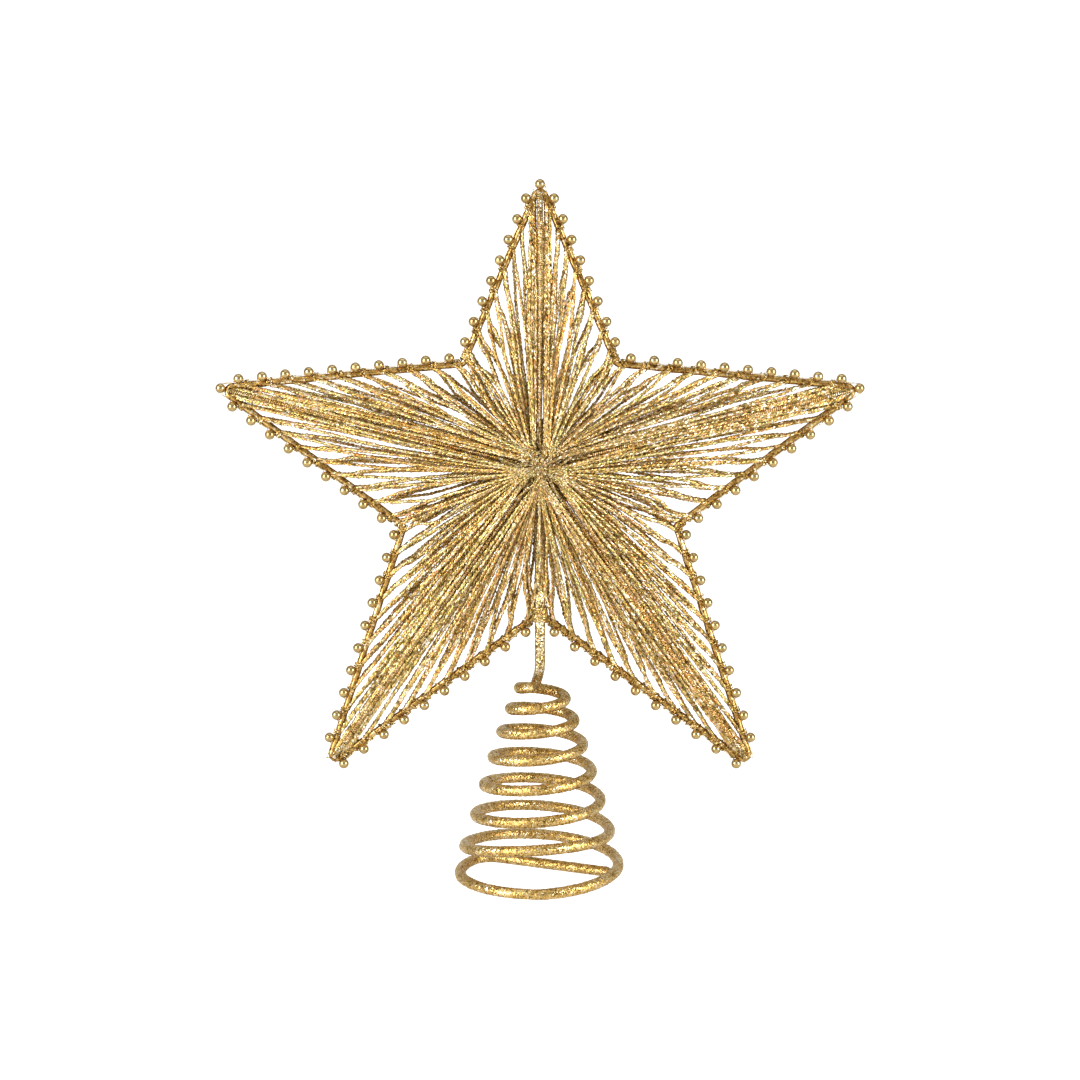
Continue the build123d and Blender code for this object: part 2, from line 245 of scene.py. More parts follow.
def glitter_finish(name, flake, tones, tilt, roughness, tints=(), streak=0.0):
    """Glitter: flakes of random tone and tilt, in patches that catch more or less light.

    Thread has a tint for each of its plies, and streak draws the flakes out along strands that run to the hub.
    """
    finish = bpy.data.materials.new(name)
    finish.use_nodes = True
    nodes = finish.node_tree.nodes
    links = finish.node_tree.links
    shader = nodes["Principled BSDF"]
    shader.inputs["Metallic"].default_value = glitter_metal
    place = nodes.new("ShaderNodeTexCoord")
    flakes = nodes.new("ShaderNodeTexVoronoi")
    flakes.inputs["Scale"].default_value = 1 / (flake * MM)
    if streak:
        from_hub = nodes.new("ShaderNodeVectorMath")
        from_hub.operation = "SUBTRACT"
        from_hub.inputs[1].default_value = (0.0, 0.0, hub_z * MM)
        links.new(place.outputs["Object"], from_hub.inputs[0])
        split = nodes.new("ShaderNodeSeparateXYZ")
        links.new(from_hub.outputs["Vector"], split.inputs["Vector"])
        turn = nodes.new("ShaderNodeMath")
        turn.operation = "ARCTAN2"
        links.new(split.outputs["Z"], turn.inputs[0])
        links.new(split.outputs["X"], turn.inputs[1])
        level = nodes.new("ShaderNodeVectorMath")
        level.operation = "MULTIPLY"
        level.inputs[1].default_value = (1.0, 0.0, 1.0)
        links.new(from_hub.outputs["Vector"], level.inputs[0])
        reach = nodes.new("ShaderNodeVectorMath")
        reach.operation = "LENGTH"
        links.new(level.outputs["Vector"], reach.inputs[0])
        along = nodes.new("ShaderNodeCombineXYZ")
        links.new(turn.outputs["Value"], along.inputs["X"])
        links.new(split.outputs["Y"], along.inputs["Y"])
        links.new(reach.outputs["Value"], along.inputs["Z"])
        drawn_out = nodes.new("ShaderNodeVectorMath")
        drawn_out.operation = "MULTIPLY"
        drawn_out.inputs[1].default_value = (metres_a_radian, 1.0, 1 / streak)
        links.new(along.outputs["Vector"], drawn_out.inputs[0])
        links.new(drawn_out.outputs["Vector"], flakes.inputs["Vector"])
    else:
        links.new(place.outputs["Object"], flakes.inputs["Vector"])
    chance = nodes.new("ShaderNodeSeparateColor")
    links.new(flakes.outputs["Color"], chance.inputs["Color"])
    tone = colour_steps(nodes, tones)
    patches = nodes.new("ShaderNodeTexNoise")
    patches.inputs["Scale"].default_value = patch_scale
    links.new(place.outputs["Object"], patches.inputs["Vector"])
    drift = nodes.new("ShaderNodeMapRange")
    drift.inputs["From Min"].default_value = patch_range[0]
    drift.inputs["From Max"].default_value = patch_range[1]
    drift.inputs["To Min"].default_value = -patch_drift
    drift.inputs["To Max"].default_value = patch_drift
    links.new(patches.outputs["Fac"], drift.inputs["Value"])
    picked = nodes.new("ShaderNodeMath")
    links.new(chance.outputs["Red"], picked.inputs[0])
    links.new(drift.outputs["Result"], picked.inputs[1])
    links.new(picked.outputs["Value"], tone.inputs["Fac"])
    if tints:
        strand = nodes.new("ShaderNodeAttribute")
        strand.attribute_name = "strand"
        tint = colour_steps(nodes, [(count / len(tints), colour) for count, colour in enumerate(tints)])
        links.new(strand.outputs["Fac"], tint.inputs["Fac"])
        dyed = nodes.new("ShaderNodeMix")
        dyed.data_type = "RGBA"
        dyed.blend_type = "MULTIPLY"
        dyed.inputs["Factor"].default_value = 1.0
        links.new(tone.outputs["Color"], dyed.inputs["A"])
        links.new(tint.outputs["Color"], dyed.inputs["B"])
        links.new(dyed.outputs["Result"], shader.inputs["Base Color"])
    else:
        links.new(tone.outputs["Color"], shader.inputs["Base Color"])
    shine = nodes.new("ShaderNodeMapRange")
    shine.inputs["To Min"].default_value = roughness[0]
    shine.inputs["To Max"].default_value = roughness[1]
    links.new(chance.outputs["Green"], shine.inputs["Value"])
    links.new(shine.outputs["Result"], shader.inputs["Roughness"])
    centred = nodes.new("ShaderNodeVectorMath")
    centred.operation = "SUBTRACT"
    centred.inputs[1].default_value = (0.5, 0.5, 0.5)
    links.new(flakes.outputs["Color"], centred.inputs[0])
    tipped = nodes.new("ShaderNodeVectorMath")
    tipped.operation = "SCALE"
    tipped.inputs["Scale"].default_value = tilt
    links.new(centred.outputs["Vector"], tipped.inputs[0])
    surface = nodes.new("ShaderNodeNewGeometry")
    facing = nodes.new("ShaderNodeVectorMath")
    facing.operation = "ADD"
    links.new(surface.outputs["Normal"], facing.inputs[0])
    links.new(tipped.outputs["Vector"], facing.inputs[1])
    even = nodes.new("ShaderNodeVectorMath")
    even.operation = "NORMALIZE"
    links.new(facing.outputs["Vector"], even.inputs[0])
    links.new(even.outputs["Vector"], shader.inputs["Normal"])
    return finish


def place_piece(name, mesh, finish, body, slot, *nodes):
    """Puts a finished mesh on its body, in place of its CAD nodes."""
    mesh.materials.clear()
    mesh.materials.append(finish)
    piece = bpy.data.objects.new(name, mesh)
    bpy.context.scene.collection.objects.link(piece)
    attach(piece, body)
    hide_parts(*nodes)
    return piece


glitter_coat = glitter_finish(
    "gold_glitter_coat",
    flake=0.40,
    tones=(
        (0.0, (0.15, 0.080, 0.012)),
        (0.12, (0.48, 0.29, 0.075)),
        (0.40, (0.63, 0.41, 0.125)),
        (0.74, (0.77, 0.55, 0.21)),
        (0.90, (0.95, 0.84, 0.58)),
    ),
    tilt=0.50,
    roughness=(0.16, 0.40),
)
coil_steps = 2000
coil_joined_steps = 80
coil_rounding = 7
coil_line = [coil_point(-coil_lead + (coil_turns + coil_lead) * i / coil_steps) for i in range(coil_steps + 1)]
coil_run = rounded_ends(coil_line, coil_wire)
coil_run[-coil_joined_steps:] = [(place, 1.0) for place, _ in coil_run[-coil_joined_steps:]]
coil_mesh = wire_mesh("coil_of_wire", [coil_run], coil_wire + 2 * coil_coat, coil_rounding)
coat_with_glitter(coil_mesh, coil_coat)
coil = place_piece("coil_of_wire", coil_mesh, glitter_coat, "base", "glitter_wire", "coil")
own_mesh(coil)

# Foot: the coil's last turn, which lies flat and carries the star when it stands on a table.
# The same wire, with its end drawn in across the turn and tucked under the one above.
foot_arc = math.radians(120.0)
foot_steps = 120
foot_joined_steps = 20
tuck_radius = 9.0
tuck_arc = math.radians(87.0)
tuck_steps = 25
tail_step = 0.6
tail_overlap = 1.2
foot_line = []
for i in range(foot_steps + 1):
    turned = foot_arc * i / foot_steps
    foot_line.append(Vector((-math.sin(turned), -math.cos(turned), 0.0)) * coil_foot_radius)
tuck_middle = foot_line[-1] * (1 - tuck_radius / coil_foot_radius)
tuck_spoke = foot_line[-1] - tuck_middle
for i in range(1, tuck_steps + 1):
    foot_line.append(tuck_middle + Matrix.Rotation(-tuck_arc * i / tuck_steps, 3, "Z") @ tuck_spoke)
tail_heading = (foot_line[-1] - foot_line[-2]).normalized()
tail_start = foot_line[-1].copy()
tail_reach = 0.0
tail_limit = coil_foot_radius - coil_wire + tail_overlap
while (tail_start + tail_heading * (tail_reach + tail_step)).length < tail_limit:
    tail_reach += tail_step
    foot_line.append(tail_start + tail_heading * tail_reach)
foot_line = [place + Vector((0.0, 0.0, foot_z)) for place in foot_line]
foot_run = rounded_ends(foot_line, coil_wire)
foot_run[:foot_joined_steps] = [(place, 1.0) for place, _ in foot_run[:foot_joined_steps]]
foot_mesh = wire_mesh("coil_foot_turn", [foot_run], coil_wire + 2 * coil_coat, coil_rounding)
coat_with_glitter(foot_mesh, coil_coat)
place_piece("coil_foot_turn", foot_mesh, glitter_coat, "base", "glitter_wire", "coil_foot")

# Stem: a thinner wire with a paler glitter coat, from the star's middle down in front of the lower notch.
# It bends back above the coil and is fixed on the rear of the coil's first turn.
hub_z = 168.2
stem_wire = 3.7
stem_coat = 0.25
stem_flakes = 0.08
stem_rounding = 5
stem_depth = -3.53
stem_top_z = hub_z - 2.1
stem_step = 0.6
stem_straight_steps = 128
stem_bend_z = 86.0
stem_bend_run = 3.6
stem_bend_steps = 10
stem_drop_step = 0.5
stem_foot_gap = 0.4
stem_foot_turn = 0.21
stem_foot = coil_point(stem_foot_turn)
stem_knee = Vector((0.0, stem_depth, stem_bend_z))
stem_drop = (stem_foot - stem_knee).normalized()
stem_line = [Vector((0.0, stem_depth, stem_top_z - stem_step * i)) for i in range(stem_straight_steps + 1)]
bend_from = stem_line[-1]
bend_to = stem_knee + stem_drop * stem_bend_run
for i in range(1, stem_bend_steps + 1):
    share = i / stem_bend_steps
    stem_line.append(bend_from * (1 - share) ** 2 + stem_knee * 2 * share * (1 - share) + bend_to * share**2)
while (stem_foot - stem_line[-1]).length > coil_wire / 2 + stem_foot_gap:
    stem_line.append(stem_line[-1] + stem_drop * stem_drop_step)
stem_run = [(place, 1.0) for place in stem_line]
stem_mesh = wire_mesh("stem_wire", [stem_run], stem_wire + 2 * stem_coat, stem_rounding)
coat_with_glitter(stem_mesh, stem_flakes)
pale_coat = glitter_finish(
    "pale_glitter_coat",
    flake=0.42,
    tones=(
        (0.0, (0.13, 0.08, 0.020)),
        (0.18, (0.38, 0.25, 0.08)),
        (0.42, (0.54, 0.39, 0.16)),
        (0.68, (0.70, 0.55, 0.29)),
        (0.84, (0.97, 0.90, 0.72)),
    ),
    tilt=0.70,
    roughness=(0.16, 0.40),
)
place_piece("stem_wire", stem_mesh, pale_coat, "star", "glitter_wire", "stem")

# Hub post: the short rod inside the star that keeps the two thread crossings apart.
# It has the coil's gold glitter coat, and the stem's upper end is fixed to it.
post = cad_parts["hub_post"]
post.data.materials.clear()
post.data.materials.append(glitter_coat)

# Stem lashing: glitter thread bound round the stem where it passes the frame's lower notch.
# The thread has two plies twisted together, each knobbly with flakes of gold, copper and cream.
thread_tones = (
    (0.0, (0.22, 0.14, 0.042)),
    (0.11, (0.39, 0.32, 0.12)),
    (0.24, (0.59, 0.425, 0.145)),
    (0.46, (0.77, 0.60, 0.25)),
    (0.68, (0.69, 0.365, 0.115)),
    (0.77, (0.83, 0.61, 0.44)),
    (0.85, (0.97, 0.905, 0.70)),
)
ply_tints = (
    (1.0, 1.0, 1.0),
    (1.0, 1.0, 1.0),
    (1.0, 0.80, 0.52),
    (0.88, 0.90, 0.68),
    (1.0, 1.0, 1.0),
    (0.80, 0.69, 0.56),
    (1.0, 0.88, 0.84),
    (1.0, 0.96, 0.90),
)
thread_flake = 0.48
glitter_thread = glitter_finish(
    "champagne_glitter_thread",
    flake=thread_flake,
    tones=thread_tones,
    tilt=0.80,
    roughness=(0.16, 0.45),
    tints=ply_tints,
)
ply = 0.96
ply_offset = 0.34
ply_lay = 3.4
ply_knobs = (0.72, 1.28)
ply_rounding = 1
off_any_thread = Vector((0.31, 0.82, 0.47))


def plies(line, phase):
    """The two plies of a thread along a line of points, twisted round it, each with flakes that stand out."""
    runs = ([], [])
    travelled = 0.0
    for i, place in enumerate(line):
        ahead = line[min(i + 1, len(line) - 1)] - line[max(i - 1, 0)]
        travelled += (place - line[max(i - 1, 0)]).length
        across = ahead.cross(off_any_thread).normalized()
        over = across.cross(ahead).normalized()
        for half, run in enumerate(runs):
            angle = phase + math.pi * half + 2 * math.pi * travelled / ply_lay
            shift = (across * math.cos(angle) + over * math.sin(angle)) * ply_offset
            run.append((place + shift, random.uniform(*ply_knobs)))
    return runs


crotch_z = 108.4
lashing_reach = stem_wire / 2 + 0.55
lashing_height = 6.0
lashing_steps = 90
lashing_steps_a_turn = 14
lashing_line = []
for i in range(lashing_steps + 1):
    angle = 2 * math.pi * i / lashing_steps_a_turn
    height = crotch_z - lashing_height / 2 + lashing_height * i / lashing_steps
    lashing_line.append(
        Vector((lashing_reach * math.cos(angle), stem_depth + lashing_reach * math.sin(angle), height))
    )
lashing_mesh = wire_mesh("stem_lashing_thread", plies(lashing_line, 0.0), ply, ply_rounding)
place_piece("stem_lashing_thread", lashing_mesh, glitter_thread, "star", "glitter_thread", "stem_lashing")

# Star frame: one gold lacquered wire bent round ten corners into the star's outline.
# Its brown gold is blotched where glue and glitter of the winding have dried on it.
tips = {
    "crown": Vector((0.0, 0.0, 278.7)),
    "left_arm": Vector((-127.4, 0.0, 198.8)),
    "left_leg": Vector((-86.2, 0.0, 45.5)),
    "right_leg": Vector((86.2, 0.0, 45.5)),
    "right_arm": Vector((127.4, 0.0, 198.8)),
}
notches = {
    "left_shoulder": Vector((-30.4, 0.0, 208.2)),
    "left_waist": Vector((-54.4, 0.0, 143.6)),
    "crotch": Vector((0.0, 0.0, crotch_z)),
    "right_waist": Vector((54.4, 0.0, 143.6)),
    "right_shoulder": Vector((30.4, 0.0, 208.2)),
}
hub = Vector((0.0, 0.0, hub_z))
tip_bend = 2.0
notch_bend = 2.5
bend_steps = 8
frame_step = 1.5
frame_rounding = 3
frame_wire = 2.06
frame_coat = 0.36
coat_lumps = 0.16
coat_lump_scale = 0.35
outline = [corner for pair in zip(tips.values(), notches.values()) for corner in pair]
bend_apex = []
frame_line = []
for i, corner in enumerate(outline):
    before = (outline[i - 1] - corner).normalized()
    after = (outline[(i + 1) % len(outline)] - corner).normalized()
    half = before.angle(after) / 2
    bend = tip_bend if i % 2 == 0 else notch_bend
    middle = corner + (before + after).normalized() * (bend / math.sin(half))
    bend_apex.append(corner + (before + after).normalized() * (bend / math.sin(half) - bend))
    spoke = corner + before * (bend / math.tan(half)) - middle
    swing = math.pi - 2 * half
    way = 1.0 if before.cross(after).y > 0 else -1.0
    arc = [middle + Matrix.Rotation(-way * swing * k / bend_steps, 3, "Y") @ spoke for k in range(bend_steps + 1)]
    if frame_line:
        run_start = frame_line[-1]
        steps = round((arc[0] - run_start).length / frame_step)
        frame_line += [run_start.lerp(arc[0], k / steps) for k in range(1, steps)]
    frame_line += arc
closing = round((frame_line[0] - frame_line[-1]).length / frame_step)
frame_line += [frame_line[-1].lerp(frame_line[0], k / closing) for k in range(1, closing + 1)]
coated_line = [(place, 1.0 + coat_lumps * noise.noise(place * coat_lump_scale)) for place in frame_line]
frame_mesh = wire_mesh("star_frame_wire", [coated_line], frame_wire + 2 * frame_coat, frame_rounding)
frame_gold = glitter_finish(
    "frame_gold_lacquer",
    flake=0.8,
    tones=(
        (0.0, (0.18, 0.085, 0.016)),
        (0.18, (0.40, 0.22, 0.055)),
        (0.48, (0.53, 0.33, 0.095)),
        (0.78, (0.66, 0.46, 0.17)),
        (0.93, (0.90, 0.78, 0.52)),
    ),
    tilt=0.16,
    roughness=(0.20, 0.36),
)
place_piece("star_frame_wire", frame_mesh, frame_gold, "star", "frame_wire", "star_frame")

# Frame joint: a lump of hardened glue with glitter in it, just above the upper left notch.
# It covers the frame wire's two ends, which butt there, and holds them together.
joint_from_notch = 3.6
joint_radii = (2.1, 2.0, 2.7)
joint_lumps = 0.22
joint_lump_scale = 2.3
joint_grain = 0.03
joint_heading = (notches["left_shoulder"] - tips["crown"]).normalized()
joint_middle = notches["left_shoulder"] - joint_heading * joint_from_notch
lump = bmesh.new()
bmesh.ops.create_icosphere(lump, subdivisions=4, radius=1.0)
for vertex in lump.verts:
    swollen = 1.0 + joint_lumps * noise.noise(vertex.co * joint_lump_scale)
    vertex.co *= swollen + random.uniform(-joint_grain, joint_grain)
turn_along = joint_heading.to_track_quat("Z", "Y").to_matrix().to_4x4()
joint_shape = Matrix.Diagonal((*joint_radii, 1.0))
bmesh.ops.transform(lump, verts=lump.verts, matrix=Matrix.Translation(joint_middle) @ turn_along @ joint_shape)
bmesh.ops.scale(lump, verts=lump.verts, vec=(MM, MM, MM))
lump_mesh = bpy.data.meshes.new("frame_joint_lump")
lump.to_mesh(lump_mesh)
lump.free()
lump_mesh.shade_flat()
place_piece("frame_joint_lump", lump_mesh, glitter_coat, "star", "frame_wire", "frame_joint")

# Beads: small plastic balls in a pearly antique gold, strung along the outside of the frame.
# Each has a straight hole through it for the wire, and sits a little askew on it.
bead = 4.1
bead_hole = 0.9
bead_reach = 2.8
bead_depth = -1.507
bead_profile_steps = 8
bead_round_steps = 16
bead_lean = 0.05
bead_nod = 0.12
bead_depth_play = 0.12
bead_rows = {
    "crown": (8, 7.5, 8.2),
    "shoulder": (10, 8.2, 5.3),
    "flank": (9, 8.7, 9.0),
    "outer_leg": (10, 12.0, 4.5),
    "inner_leg": (10, 6.3, 9.1),
}
arm_edges = {
    "crown": (("crown_right", "right_shoulder", "crown"), ("crown_left", "left_shoulder", "crown")),
    "left_arm": (("left_arm_upper", "left_shoulder", "shoulder"), ("left_arm_lower", "left_waist", "flank")),
    "left_leg": (("left_leg_outer", "left_waist", "outer_leg"), ("left_leg_inner", "crotch", "inner_leg")),
    "right_leg": (("right_leg_inner", "crotch", "inner_leg"), ("right_leg_outer", "right_waist", "outer_leg")),
    "right_arm": (("right_arm_lower", "right_waist", "flank"), ("right_arm_upper", "right_shoulder", "shoulder")),
}
arms_with_tip_bead = ("crown", "left_arm", "right_arm")
edges = {}
for arm, pair in arm_edges.items():
    for edge, notch, row in pair:
        run = notches[notch] - tips[arm]
        heading = run.normalized()
        outward = heading.cross(Vector((0.0, 1.0, 0.0)))
        if outward.dot(tips[arm] + run / 2 - hub) < 0:
            outward = -outward
        count, first, last = bead_rows[row]
        pitch = (run.length - first - last) / (count - 1)
        edges[edge] = {
            "tip": tips[arm],
            "heading": heading,
            "outward": outward,
            "length": run.length,
            "pitch": pitch,
            "beads": [first + pitch * i for i in range(count)],
        }

pearl_gold = bpy.data.materials.new("pearl_gold_bead")
pearl_gold.use_nodes = True
pearl_nodes = pearl_gold.node_tree.nodes
pearl_links = pearl_gold.node_tree.links
pearl_shader = pearl_nodes["Principled BSDF"]
pearl_shader.inputs["Metallic"].default_value = 0.9
pearl_shader.inputs["Coat Weight"].default_value = 0.35
pearl_shader.inputs["Coat Roughness"].default_value = 0.08
pearl_place = pearl_nodes.new("ShaderNodeTexCoord")
pearl_cloud = pearl_nodes.new("ShaderNodeTexNoise")
pearl_cloud.inputs["Scale"].default_value = 380.0
pearl_cloud.inputs["Detail"].default_value = 6.0
pearl_links.new(pearl_place.outputs["Object"], pearl_cloud.inputs["Vector"])
pearl_tone = pearl_nodes.new("ShaderNodeValToRGB")
pearl_tone.color_ramp.elements[0].position = 0.30
pearl_tone.color_ramp.elements[0].color = (0.36, 0.235, 0.075, 1.0)
pearl_tone.color_ramp.elements[1].position = 0.72
pearl_tone.color_ramp.elements[1].color = (0.62, 0.46, 0.20, 1.0)
pearl_links.new(pearl_cloud.outputs["Fac"], pearl_tone.inputs["Fac"])
pearl_links.new(pearl_tone.outputs["Color"], pearl_shader.inputs["Base Color"])
pearl_shine = pearl_nodes.new("ShaderNodeMapRange")
pearl_shine.inputs["To Min"].default_value = 0.10
pearl_shine.inputs["To Max"].default_value = 0.20
pearl_links.new(pearl_cloud.outputs["Fac"], pearl_shine.inputs["Value"])
pearl_links.new(pearl_shine.outputs["Result"], pearl_shader.inputs["Roughness"])
pearl_grain = pearl_nodes.new("ShaderNodeTexNoise")
pearl_grain.inputs["Scale"].default_value = 2600.0
pearl_links.new(pearl_place.outputs["Object"], pearl_grain.inputs["Vector"])
pearl_bump = pearl_nodes.new("ShaderNodeBump")
pearl_bump.inputs["Strength"].default_value = 0.12
pearl_bump.inputs["Distance"].default_value = 0.00005
pearl_links.new(pearl_grain.outputs["Fac"], pearl_bump.inputs["Height"])
pearl_links.new(pearl_bump.outputs["Normal"], pearl_shader.inputs["Normal"])

ball = bmesh.new()
hole_angle = math.asin(bead_hole / bead)
profile = []
for i in range(bead_profile_steps + 1):
    angle = hole_angle + (math.pi - 2 * hole_angle) * i / bead_profile_steps
    profile.append(ball.verts.new((bead / 2 * math.sin(angle), 0.0, bead / 2 * math.cos(angle))))
rim = [ball.edges.new(pair) for pair in zip(profile, profile[1:] + profile[:1])]
bmesh.ops.spin(
    ball,
    geom=profile + rim,
    cent=(0, 0, 0),
    axis=(0, 0, 1),
    angle=2 * math.pi,
    steps=bead_round_steps,
    use_merge=True,
)
bmesh.ops.remove_doubles(ball, verts=ball.verts, dist=1e-4)
bmesh.ops.recalc_face_normals(ball, faces=ball.faces)
ball_mesh = bpy.data.meshes.new("one_bead")
ball.to_mesh(ball_mesh)
ball.free()
arm_tips = {}
for arm, pair in arm_edges.items():
    spots = []
    for edge, _, _ in pair:
        side = edges[edge]
        for along in side["beads"]:
            spots.append((side["tip"] + side["heading"] * along + side["outward"] * bead_reach, side["heading"]))
    apex = bend_apex[2 * list(tips).index(arm)]
    axis = -(edges[pair[0][0]]["heading"] + edges[pair[1][0]]["heading"]).normalized()
    crosswise = axis.cross(Vector((0.0, 1.0, 0.0)))
    arm_tips[arm] = (apex, axis, crosswise)
    if arm in arms_with_tip_bead:
        spots.append((apex + axis * bead_reach, crosswise))
    strung = bmesh.new()
    for spot, hole in spots:
        start = len(strung.verts)
        strung.from_mesh(ball_mesh)
        strung.verts.ensure_lookup_table()
        askew = Vector((random.gauss(0, bead_lean), random.gauss(0, bead_nod), random.gauss(0, bead_lean)))
        lean = (hole + askew).normalized()
        seat = Matrix.Translation(spot + Vector((0.0, bead_depth + random.gauss(0, bead_depth_play), 0.0)))
        bmesh.ops.transform(
            strung,
            verts=strung.verts[start:],
            matrix=Matrix.Scale(MM, 4) @ seat @ lean.to_track_quat("Z", "Y").to_matrix().to_4x4(),
        )
    beads_mesh = bpy.data.meshes.new(f"bead_row_{arm}")
    strung.to_mesh(beads_mesh)
    strung.free()
    beads_mesh.shade_smooth()
    place_piece(f"bead_row_{arm}", beads_mesh, pearl_gold, "star", "bead", f"beads_{arm}")

# Bead strings: a fine pale gold wire through the beads of each arm.
# The winding holds it down on the frame between the beads.
string = 0.70
string_low = 1.56
string_low_depth = -0.55
string_start = 3.4
string_end = 3.0
string_step = 0.3
string_rise_at = 1.85
string_rise_sharp = 14
string_rounding = 2
through_tip_bead = (-1.9, -0.6, 0.6, 1.9)
round_bare_tip = (-1.4, -0.5, 0.5, 1.4)
bare_tip_drop = 0.3
fine_wire = glitter_finish(
    "fine_pale_gold_wire",
    flake=1.6,
    tones=(
        (0.0, (0.70, 0.55, 0.30)),
        (0.20, (0.90, 0.82, 0.62)),
        (0.60, (0.97, 0.94, 0.84)),
    ),
    tilt=0.10,
    roughness=(0.22, 0.34),
)
for arm, pair in arm_edges.items():
    halves = []
    for edge, _, _ in pair:
        side = edges[edge]
        half = []
        along = string_start
        while along < side["beads"][-1] + string_end:
            from_bead = min(abs(along - bead_at) for bead_at in side["beads"])
            lift = 1 / (1 + (from_bead / string_rise_at) ** string_rise_sharp)
            depth = string_low_depth + (bead_depth - string_low_depth) * lift
            out = side["outward"] * (string_low + (bead_reach - string_low) * lift)
            half.append(side["tip"] + side["heading"] * along + out + Vector((0.0, depth, 0.0)))
            along += string_step
        halves.append(half)
    apex, axis, crosswise = arm_tips[arm]
    if arm in arms_with_tip_bead:
        over_tip = [apex + axis * bead_reach + crosswise * step for step in through_tip_bead]
        over_tip = [place + Vector((0.0, bead_depth, 0.0)) for place in over_tip]
    else:
        over_tip = [
            apex + axis * (string_low - bare_tip_drop * abs(step)) + crosswise * step for step in round_bare_tip
        ]
    if (over_tip[0] - halves[0][0]).length > (over_tip[-1] - halves[0][0]).length:
        over_tip.reverse()
    string_line = halves[0][::-1] + over_tip + halves[1]
    string_run = [(place, 1.0) for place in string_line]
    string_mesh = wire_mesh(f"bead_wire_{arm}", [string_run], string, string_rounding)
    place_piece(f"bead_wire_{arm}", string_mesh, fine_wire, "star", "bead_string", f"bead_string_{arm}")

# Winding: the glitter thread runs from the front crossing to the frame, a little along it, over it and the bead wire
# once or twice beside each bead, and back to the rear crossing. Along the legs' inner edges it also binds the frame.
# Neighbouring strands stick together part-way; on the frame they are a darker brown, and near the hub the thread is
# tinted darker as painted shade.
hub_depth = 19.0
rim_reach = 9.3
thread_levels = 4
level_step = 1.55
hub_rise = 2.9
wrap_from_bead = 2.8
beside_ridge = 0.20
wrap_deep = 1.45
wrap_out = 1.42
wrap_middle = 0.20
wrap_from_degrees = -35
wrap_step_degrees = 25
wrap_steps = 6
wraps_near_tip = [4.4, 6.6]
wraps_near_crown_tip = [6.6]
clear_of_notch = 1.5
bare_by_notch = 4
wrap_by_notch = 2.4
single_near_tip = 40.0
paired_on_leg = 0.75
paired_elsewhere = 0.6
twin_near = 0.2
twin_far = 0.9
no_turn_near_tip = 7.0
stuck_at = (0.35, 0.75)
cling_shares = (0.08, 0.26, 0.42)
cling_spread = 0.06
along_frame = (0.4, 3.0)
along_frame_apart = 4
bend_run = (9.0, 15.0)
bend_most = 0.3
strand_step = 1.05
wander = 0.4
wander_scale = 0.05
crook = 0.16
crook_scale = 0.45
straight_by_hub = 3
straight_by_frame = 8
strand_seeds = 900
any_phase = 6.28
hub_steps = 7
inmost_shares = (0.08, 0.80)
frame_brown_within = 2.2
frame_brown_slot = 1
painted_shade_slot = 2
painted_shade_within = (5.0, 17.0)
bound_lay = 3.6
bound_steps_a_turn = 9
bound_from_tip = 10
bound_left_bare = 11
bound_slack_scale = 0.13
views = (("front", -1.0), ("back", 1.0))
# Thread is a darker brown where it lies on and over the frame wire.
frame_brown_thread = glitter_finish(
    "thread_brown_with_glue",
    flake=thread_flake,
    tones=(
        (0.0, (0.11, 0.055, 0.010)),
        (0.24, (0.32, 0.19, 0.045)),
        (0.52, (0.50, 0.33, 0.09)),
        (0.80, (0.66, 0.40, 0.13)),
        (0.93, (0.95, 0.84, 0.58)),
    ),
    tilt=0.60,
    roughness=(0.18, 0.45),
)
streaked_thread = glitter_finish(
    "champagne_thread_drawn_tight",
    flake=thread_flake,
    tones=thread_tones,
    tilt=0.72,
    roughness=(0.16, 0.45),
    tints=ply_tints,
    streak=3.0,
)
# Painted shade: near the hub and in the crossings, the thread's ply tints are darkened by this factor.
painted_shade_factor = 0.66
painted_shade_thread = glitter_finish(
    "champagne_thread_heaped",
    flake=0.42,
    tones=thread_tones,
    tilt=0.80,
    roughness=(0.18, 0.45),
    tints=[[painted_shade_factor * part for part in tint] for tint in ply_tints],
)
windings = {(view, edge): [] for view, _ in views for edge in edges}
arm_names = list(tips)


def wrap_point(place, outward, swing, view_sign):
    """A point of the turn round the frame wire and the bead wire: swing 0 is in front of them, 90 degrees outside."""
    middle = place + outward * wrap_middle
    deep = Vector((0.0, view_sign * wrap_deep * math.cos(swing), 0.0))
    return middle + outward * wrap_out * math.sin(swing) + deep


